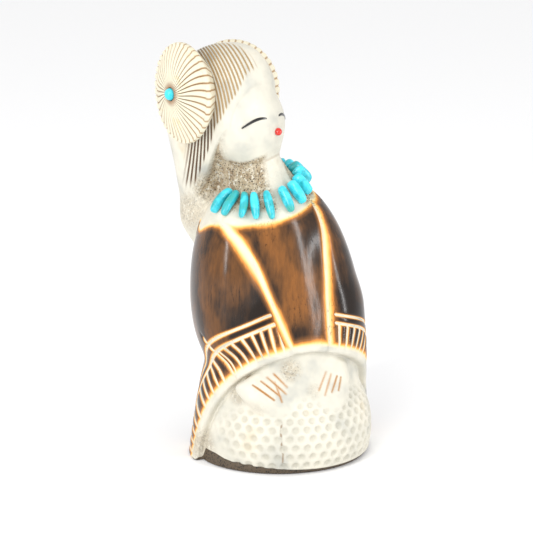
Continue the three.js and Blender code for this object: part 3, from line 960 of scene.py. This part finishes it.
# %% The antler material
def antler_material():
    material, tree, shader = new_material("carved_antler", None)
    space = object_space(tree, (1000, 1000, 1000))
    fibres = object_space(tree, (1500, 1500, 180))
    wide, fine = noise(tree, object_space(tree, (1000, 1000, 420)), 0.13), noise(tree, fibres, 1.0, 5.0, 0.65)
    base = antler_colour(tree, space, fine)
    pores, spots = pore_colour(tree, space)
    porous = times(tree, attribute(tree, "pores"), stretch(tree, noise(tree, space, 1.3), 0.28, 0.5))
    rim = stretch(tree, attribute(tree, "rim"), 0.12, -0.12)
    base = mix(tree, porous, base, pores)
    # Painted shade: each dimple's cup is greyed by its depth, standing in for the shade that falls in it.
    base = mix(tree, times(tree, attribute(tree, "cup"), 0.32), base, linear(158, 154, 138))
    groove = hair_groove(tree)
    tint = mix(tree, attribute(tree, "hair_tint"), linear(176, 146, 98), linear(86, 54, 24))
    base = mix(tree, times(tree, groove, 0.92), base, tint)
    base = mix(tree, attribute(tree, "stroke"), base, linear(172, 112, 26))
    base = mix(tree, attribute(tree, "crack"), base, linear(58, 42, 30))
    rough_foot = mix(tree, stretch(tree, spots, 0.15, 0.6), linear(86, 72, 55), linear(9, 7, 6))
    base = mix(tree, rim, base, rough_foot)
    depth = cut_distance(tree)
    stained = times(tree, stretch(tree, attribute(tree, "robe"), -0.1, 0.15),
                   stretch(tree, depth, -0.25, 0.12))
    split = noise(tree, object_space(tree, (700, 700, 40)), 1.0, 4.0)
    split = stretch(tree, magnitude(tree, minus(tree, split, 0.5)), 0.012, 0.0)
    split = times(tree, split, stretch(tree, noise(tree, space, 0.09), 0.48, 0.6))
    stain = mix(tree, times(tree, split, 0.8), stain_colour(tree, depth, wide, fine), linear(16, 11, 8))
    colour = mix(tree, stained, base, stain)
    tree.links.new(colour, shader.inputs["Base Color"])
    polish = stretch(tree, depth, 0.2, 0.8, 0.5, 0.19)
    rough = node(tree, "ShaderNodeMix", {0: stained, 2: 0.52, 3: polish}, data_type="FLOAT").outputs[0]
    rough = plus(tree, rough, times(tree, porous, 0.3), clamp=True)
    tree.links.new(rough, shader.inputs["Roughness"])
    tree.links.new(stretch(tree, stained, 0.0, 1.0, 0.5, 0.34), shader.inputs["Specular IOR Level"])
    height = plus(tree, times(tree, groove, -0.25), times(tree, fine, 0.05))
    height = minus(tree, height, times(tree, times(tree, spots, porous), 0.3))
    roughen(tree, shader, height, 0.5, 0.8)
    return material


antler = antler_material()
for piece in (body, head):
    piece.data.materials.append(antler)
    belongs(piece, "antler_figure")
print("antler nodes:", len(antler.node_tree.nodes))

# %% [markdown]
# ## Hair whorls
# Each whorl is a low dome scored with fine lines that run out from its middle. All its locks are alike, so
# one lock is made as a wedge from the middle to the rim and round to the back. Geometry Nodes turn copies
# of it about the middle and weld them into one closed disc.

# %% One lock of the whorl
LOCKS = 40
WHORL_RADIUS, WHORL_DOME, WHORL_EDGE, WHORL_PIT = 12.1, 3.2, 1.4, 1.66
WHORL_BACK = -WHORL_EDGE - 5.8


def whorl_stations():
    pit = WHORL_PIT
    dome = lambda r: WHORL_DOME * (1 - (r / WHORL_RADIUS) ** 2)
    stations = [(0.0, dome(pit) - 0.8, 0), (pit * 0.97, dome(pit) - 0.8, 0), (pit, dome(pit) - 0.05, 0)]
    for r in np.linspace(pit * 1.08, WHORL_RADIUS * 0.97, 26):
        stations.append((r, dome(r), min(0.1 + (r - pit) * 0.14, 0.42)))
    stations += [(WHORL_RADIUS - 0.12, 0.35, 0.4), (WHORL_RADIUS, -0.3, 0.34),
                 (WHORL_RADIUS - 0.05, -0.8, 0.25), (WHORL_RADIUS * 0.95, -WHORL_EDGE, 0.1),
                 (WHORL_RADIUS * 0.5, WHORL_BACK, 0), (0.0, WHORL_BACK, 0)]
    return stations


def lock_mesh(across=9):
    points, grooves, radii = [], [], []
    stations = whorl_stations()
    for r, height, depth in stations:
        for i in range(across):
            u = 2 * i / (across - 1) - 1
            swirl = 0.16 * np.sin(min(r, WHORL_RADIUS) / WHORL_RADIUS * 2.4)
            a = u * np.pi / LOCKS + swirl
            dip = depth * abs(u) ** 3
            reach = max(r - 0.5 * dip * (height < 0.6), 0)
            lift = height - dip * (height > 0.3)
            points.append((reach * np.cos(a) * MM, reach * np.sin(a) * MM, lift * MM))
            grooves.append(abs(u) ** 2)
            radii.append(r)
    quads = [(j * across + i, (j + 1) * across + i, (j + 1) * across + i + 1, j * across + i + 1)
             for j in range(len(stations) - 1) for i in range(across - 1)]
    mesh = bpy.data.meshes.new("lock")
    mesh.from_pydata(points, [], quads)
    keep(mesh, "groove", grooves)
    keep(mesh, "radius", radii)
    return mesh


# %% Turn the lock about the middle
def whorl_tree():
    tree, given, out, ids = new_tree("whorl_of_locks", {
        "Locks": "NodeSocketInt", "Seed": "NodeSocketInt", "Material": "NodeSocketMaterial"})
    line = node(tree, "GeometryNodeMeshLine", {"Count": given.outputs["Locks"], "Offset": (0, 0, 0)})
    index = node(tree, "GeometryNodeInputIndex").outputs[0]
    turn = over(tree, times(tree, index, 2 * np.pi), given.outputs["Locks"])
    spin = node(tree, "ShaderNodeCombineXYZ", {"Z": turn}).outputs[0]
    copies = node(tree, "GeometryNodeInstanceOnPoints",
                  {"Points": line.outputs[0], "Instance": given.outputs[0], "Rotation": spin})
    links = {"ID": index, "Seed": given.outputs["Seed"]}
    tone = node(tree, "FunctionNodeRandomValue", links, data_type="FLOAT")
    named = node(tree, "GeometryNodeStoreNamedAttribute",
                 {"Geometry": copies.outputs[0], "Name": "tone", "Value": tone.outputs[1]},
                 data_type="FLOAT", domain="INSTANCE")
    solid = node(tree, "GeometryNodeRealizeInstances", {0: named.outputs[0]})
    weld = node(tree, "GeometryNodeMergeByDistance", {"Geometry": solid.outputs[0], "Distance": 2e-6})
    links = {"Geometry": weld.outputs[0], "Material": given.outputs["Material"]}
    dressed = node(tree, "GeometryNodeSetMaterial", links)
    tree.links.new(dressed.outputs[0], out.inputs[0])
    return tree, ids


# %% Whorl material
def whorl_material():
    material, tree, shader = new_material("scored_antler", 0.5)
    space = object_space(tree, (1000, 1000, 1000))
    groove, radius, tone = (attribute(tree, name) for name in ("groove", "radius", "tone"))
    base = ramp(tree, noise(tree, space, 0.22), [(0.3, linear(216, 209, 186)), (0.6, linear(226, 219, 196)),
                                                  (0.85, linear(216, 192, 138))])
    burnt = mix(tree, stretch(tree, radius, 2.0, 11.5), linear(96, 56, 22), linear(150, 108, 56))
    line = times(tree, stretch(tree, groove, 0.3, 0.85), stretch(tree, tone, 0.0, 1.0, 0.7, 1.0))
    ring = stretch(tree, radius, 3.4, 1.7, 0.0, 0.75)
    base = mix(tree, ring, base, linear(150, 96, 44))
    base = mix(tree, times(tree, line, 0.9), base, burnt)
    tree.links.new(base, shader.inputs["Base Color"])
    roughen(tree, shader, noise(tree, space, 2.5, 4.0), 0.1, 0.4)
    return material


# %% Place the two whorls
WHORLS = {"right": ((-23.2, 7, 89.6), (-0.96, -0.28, 0.02)), "left": ((-6.4, 19.6, 87.4), (0.66, 0.75, -0.1))}


def whorl_frame(centre, normal):
    normal = unit(normal)
    up = unit(UP - normal * (UP @ normal))
    return placed(centre, np.cross(up, normal), up, normal)


scored = whorl_material()
tree, ids = whorl_tree()
for seed, (side, where) in enumerate(WHORLS.items()):
    whorl = new_piece(f"hair_whorl_{side}", lock_mesh())
    bake_tree(whorl, tree, ids, {"Locks": LOCKS, "Seed": seed, "Material": scored})
    face_outward(whorl.data)
    whorl.data.transform(whorl_frame(*where))
    whorl.data.shade_smooth()
    whorl.data.set_sharp_from_angle(angle=60 * RAD)
    belongs(whorl, "antler_figure")
    print(whorl.name, len(whorl.data.polygons), "faces")

# %% [markdown]
# ## Turquoise, coral and jet
# The stones of the necklace are small slabs that bend over the collar, cut by hand and so a little uneven.
# Each is lofted on the carving, seven stations long, then rounded by subdivision.

# %% Feet on the carving
def plain(x, y, z):
    return carving(x, y, z, cuts=False)


def land(start, toward, reach):
    """First point of the uncut carving on a ray."""
    t = np.arange(0, reach, 0.1)
    points = np.asarray(start)[:, None] + np.outer(toward, t)
    level = plain(*points)
    i = max(np.nonzero(level < 0)[0][0], 1)
    share = level[i - 1] / (level[i - 1] - level[i])
    return points[:, i - 1] + (points[:, i] - points[:, i - 1]) * share


def on_surface(angle, z):
    cx, cy = axis(z)
    away = np.array((np.sin(angle * RAD), -np.cos(angle * RAD), 0))
    return land(np.array((cx, cy, z)) + away * 40, -away, 39.8)


def outward(p):
    return unit(slope_at(plain, np.array([p]))[1][0])


# %% One stone
STONE_BEARINGS = [-70, -58, -44, -29.5, -11, 13, 33, 54, 77, 97, 114, 130, 146, 162, 178]
STONE_GIRTH = [(0.98, 0.5), (0.78, 0.86), (0.3, 1.0), (-0.3, 1.0), (-0.78, 0.86), (-0.98, 0.5),
               (-0.9, -0.1), (0.9, -0.1)]
STONE_TAPER = [0.6, 0.86, 0.98, 1.0, 1.0, 0.92, 0.7]
STONE_HALF_WIDTH, STONE_HEIGHT = (1.08, 1.26), (1.9, 2.15)


def stone_line(angle):
    rise = 3 * np.sin(angle * RAD) + 1.9 * (1 - np.cos(angle * RAD))
    return (angle, 62.2 + rise), (angle * 0.985, 67.4 + rise * 0.55)


def loft(name, rings, ends, smooth=2):
    n = len(rings[0])
    points = [ends[0]] + [p for ring in rings for p in ring] + [ends[1]]
    faces = []
    for i in range(n):
        j = (i + 1) % n
        faces.append((0, 1 + j, 1 + i))
        last = 1 + (len(rings) - 1) * n
        faces.append((len(points) - 1, last + i, last + j))
        for r in range(len(rings) - 1):
            at = 1 + r * n
            faces.append((at + i, at + j, at + n + j, at + n + i))
    mesh = bpy.data.meshes.new(name)
    mesh.from_pydata([tuple(np.asarray(p) * MM) for p in points], [], faces)
    piece = new_piece(name, mesh)
    modifier = piece.modifiers.new("round", "SUBSURF")
    modifier.levels = modifier.render_levels = smooth
    bake_modifiers(piece)
    face_outward(piece.data)
    piece.data.shade_smooth()
    return piece


def necklace_stone(name, angle, wide, tall):
    low, high = stone_line(angle)
    count = len(STONE_TAPER)
    feet = [on_surface(low[0] + (high[0] - low[0]) * t, low[1] + (high[1] - low[1]) * t)
            for t in np.linspace(-0.04 + 0.3 * ease(-5, -60, angle), 1.0, count)]
    along = unit(feet[-1] - feet[0])
    rings = []
    for foot, taper in zip(feet, STONE_TAPER):
        n = outward(foot)
        side = unit(np.cross(along, n))
        rings.append([foot + n * 0.12 - side * s * wide * taper + n * h * tall * (0.55 + 0.45 * taper)
                      for s, h in STONE_GIRTH])
    ends = [np.mean(rings[0], 0) - along * 0.35, np.mean(rings[-1], 0) + along * 0.3]
    return loft(name, rings, ends)


# %% Stone materials
def turquoise_material():
    material, tree, shader = new_material("polished_turquoise", 0.3, coat=0.3)
    space = object_space(tree, (1000, 1000, 1000))
    shade = plus(tree, noise(tree, space, 0.35, 2.0), times(tree, attribute(tree, "tone"), 0.3))
    base = ramp(tree, shade, [(0.42, linear(40, 206, 226)), (0.6, linear(74, 216, 232)),
                              (0.74, linear(40, 178, 190)), (0.9, linear(58, 170, 160))])
    links = {"Vector": space, "Scale": 0.9}
    veins = node(tree, "ShaderNodeTexVoronoi", links, feature="DISTANCE_TO_EDGE").outputs[0]
    patch = stretch(tree, noise(tree, space, 0.5), 0.58, 0.68)
    matrix = times(tree, stretch(tree, veins, 0.05, 0.0), patch)
    specks = stretch(tree, noise(tree, space, 2.6, 3.0), 0.66, 0.74)
    base = mix(tree, plus(tree, matrix, times(tree, specks, 0.6), clamp=True), base,
               linear(48, 66, 58))
    tree.links.new(base, shader.inputs["Base Color"])
    roughen(tree, shader, noise(tree, space, 1.2), 0.12, 0.5)
    return material


def plain_stone(name, first, second, size, roughness):
    material, tree, shader = new_material(name, roughness, coat=0.5)
    space = object_space(tree, (1000, 1000, 1000))
    base = ramp(tree, noise(tree, space, size), [(0.35, first), (0.7, second)])
    tree.links.new(base, shader.inputs["Base Color"])
    return material


turquoise = turquoise_material()
coral = plain_stone("polished_coral", linear(214, 40, 24), linear(186, 26, 18), 0.9, 0.18)
jet = plain_stone("polished_jet", linear(10, 9, 10), linear(28, 25, 24), 1.5, 0.22)


def set_in(piece, material, node_name, tone=0.5):
    keep(piece.data, "tone", np.full(len(piece.data.vertices), tone))
    piece.data.materials.append(material)
    belongs(piece, node_name)


# %% String the necklace
rng = np.random.default_rng(7)
for i, angle in enumerate(STONE_BEARINGS):
    wide, tall, tone = rng.uniform(*STONE_HALF_WIDTH), rng.uniform(*STONE_HEIGHT), rng.uniform(0, 1)
    tall = tall + 0.4 * ease(0, 30, angle) + 0.7 * ease(45, 75, angle)
    name = f"necklace_stone_{i + 1:02d}"
    set_in(necklace_stone(f"turquoise_{i + 1:02d}", angle, wide, tall), turquoise, name, tone)
print("stones strung:", len(STONE_BEARINGS))

# %% [markdown]
# The middle of each whorl holds a round cabochon, the eyes are slits of jet and the mouth is a coral bead.


# %% Whorl stones, eyes and mouth
def turned(name, frame_at, stations, count=16):
    rings = []
    for radius, height in stations:
        ring = []
        for i in range(count):
            a = 2 * np.pi * i / count
            at = frame_at @ Vector((radius * np.cos(a) * MM, radius * np.sin(a) * MM, height * MM))
            ring.append(np.array(at) / MM)
        rings.append(ring)
    heights = (stations[0][1], stations[-1][1] + 0.12)
    ends = [np.array(frame_at @ Vector((0, 0, h * MM))) / MM for h in heights]
    return loft(name, rings, ends, smooth=1)


for side, where in WHORLS.items():
    seat = WHORL_DOME * (1 - (1.65 / WHORL_RADIUS) ** 2) - 0.6
    profile = ((1.25, 0), (1.5, 0.35), (1.5, 0.8), (1.32, 1.3), (0.95, 1.65), (0.45, 1.85))
    stations = [(radius, seat + height) for radius, height in profile]
    stone = turned(f"cabochon_{side}", whorl_frame(*where), stations)
    set_in(stone, turquoise, f"whorl_stone_{side}", 0.2)


def on_face(left, up):
    return land(HEAD + LEFT * left + UP * up + FACE * 24, -FACE, 30)


EYE_MIDDLE, EYE_APART, EYE_HALF_LENGTH, EYE_HALF_WIDTH = -0.55, 4.45, 2.5, 0.4
EYE_SECTION = ((-1, -0.4), (1, -0.4), (1, 0.06), (0.5, 0.13), (-0.5, 0.13), (-1, 0.06))


def eye(name, side, count=15):
    rings = []
    for i in range(count):
        t = 2 * i / (count - 1) - 1
        p = on_face(EYE_MIDDLE + side * (EYE_APART - t * EYE_HALF_LENGTH), -2.6 + 0.75 * t - 0.75 * t * t)
        n = outward(p)
        across = unit(np.cross(n, LEFT))
        half = EYE_HALF_WIDTH * (1 - 0.45 * t * t)
        rings.append([p + across * (-s * half * side) + n * h for s, h in EYE_SECTION])
    return loft(name, rings, [np.mean(rings[0], 0), np.mean(rings[-1], 0)], smooth=1)


set_in(eye("jet_eye_right", -1), jet, "eye_right")
set_in(eye("jet_eye_left", 1), jet, "eye_left")
mouth_at = on_face(0.5, -6.2)
normal = outward(mouth_at)
across = unit(np.cross(normal, (0, 0, 1)))
mouth_frame = placed(mouth_at + normal * 0.24, across, np.cross(normal, across), normal)
MOUTH_RADIUS = 0.98
bead = [(MOUTH_RADIUS * np.cos(a), MOUTH_RADIUS * np.sin(a)) for a in np.radians((-60, -30, 0, 25, 50, 72))]
set_in(turned("coral_mouth", mouth_frame, bead), coral, "mouth")
print("inlays set")

# %% [markdown]
# ## Room, light and camera
# The light follows the photograph: a white sweep, one soft main light high on the left, and two narrow
# strips for the gloss of the stain. The lens is long, so the figure shows almost no perspective.

# %% Floor and light
LIT_POINT = Vector((0, 0, 0.05))


def area_light(name, at, size, power):
    data = bpy.data.lights.new(name, "AREA")
    data.shape = "RECTANGLE"
    data.size, data.size_y = size
    data.energy = power
    lamp = new_piece(name, data)
    lamp.location = at
    lamp.rotation_euler = (LIT_POINT - Vector(at)).to_track_quat("-Z", "Y").to_euler()


bpy.ops.mesh.primitive_plane_add(size=6, location=(0, 0, -0.0002))
floor = bpy.context.object
floor.name = "floor"
floor_finish, tree, shader = new_material("pale_floor", 0.9, specular=0.1)
shader.inputs["Base Color"].default_value = (0.97, 0.97, 0.975, 1)
floor.data.materials.append(floor_finish)

area_light("key", (-0.34, -0.42, 0.5), (0.24, 0.24), 1.05)
area_light("left_strip", (-0.42, -0.28, 0.22), (0.035, 0.34), 1.0)
area_light("right_strip", (0.3, -0.36, 0.2), (0.03, 0.34), 0.9)
world = bpy.data.worlds.new("studio")
bpy.context.scene.world = world
world.use_nodes = True
world.node_tree.nodes["Background"].inputs["Color"].default_value = (1, 1, 1, 1)
world.node_tree.nodes["Background"].inputs["Strength"].default_value = 0.92
bpy.context.scene.view_settings.view_transform = "Standard"
print("lights set")

# %% Camera at the photograph's angle
AZIMUTH, ELEVATION, DISTANCE, LENS = -17 * RAD, 16 * RAD, 0.520, 144.4
TARGET = Vector((-0.00384, 0.00117, 0.0467))
flat = np.cos(ELEVATION)
back = Vector((np.sin(AZIMUTH) * flat, -np.cos(AZIMUTH) * flat, np.sin(ELEVATION)))
lens = bpy.data.cameras.new("camera")
lens.sensor_width, lens.lens = 36, LENS
lens.clip_start = 0.01
camera = new_piece("camera", lens)
camera.location = TARGET + back * DISTANCE
camera.rotation_euler = (-back).to_track_quat("-Z", "Y").to_euler()
bpy.context.scene.camera = camera
print("camera at", [round(v, 3) for v in camera.location])
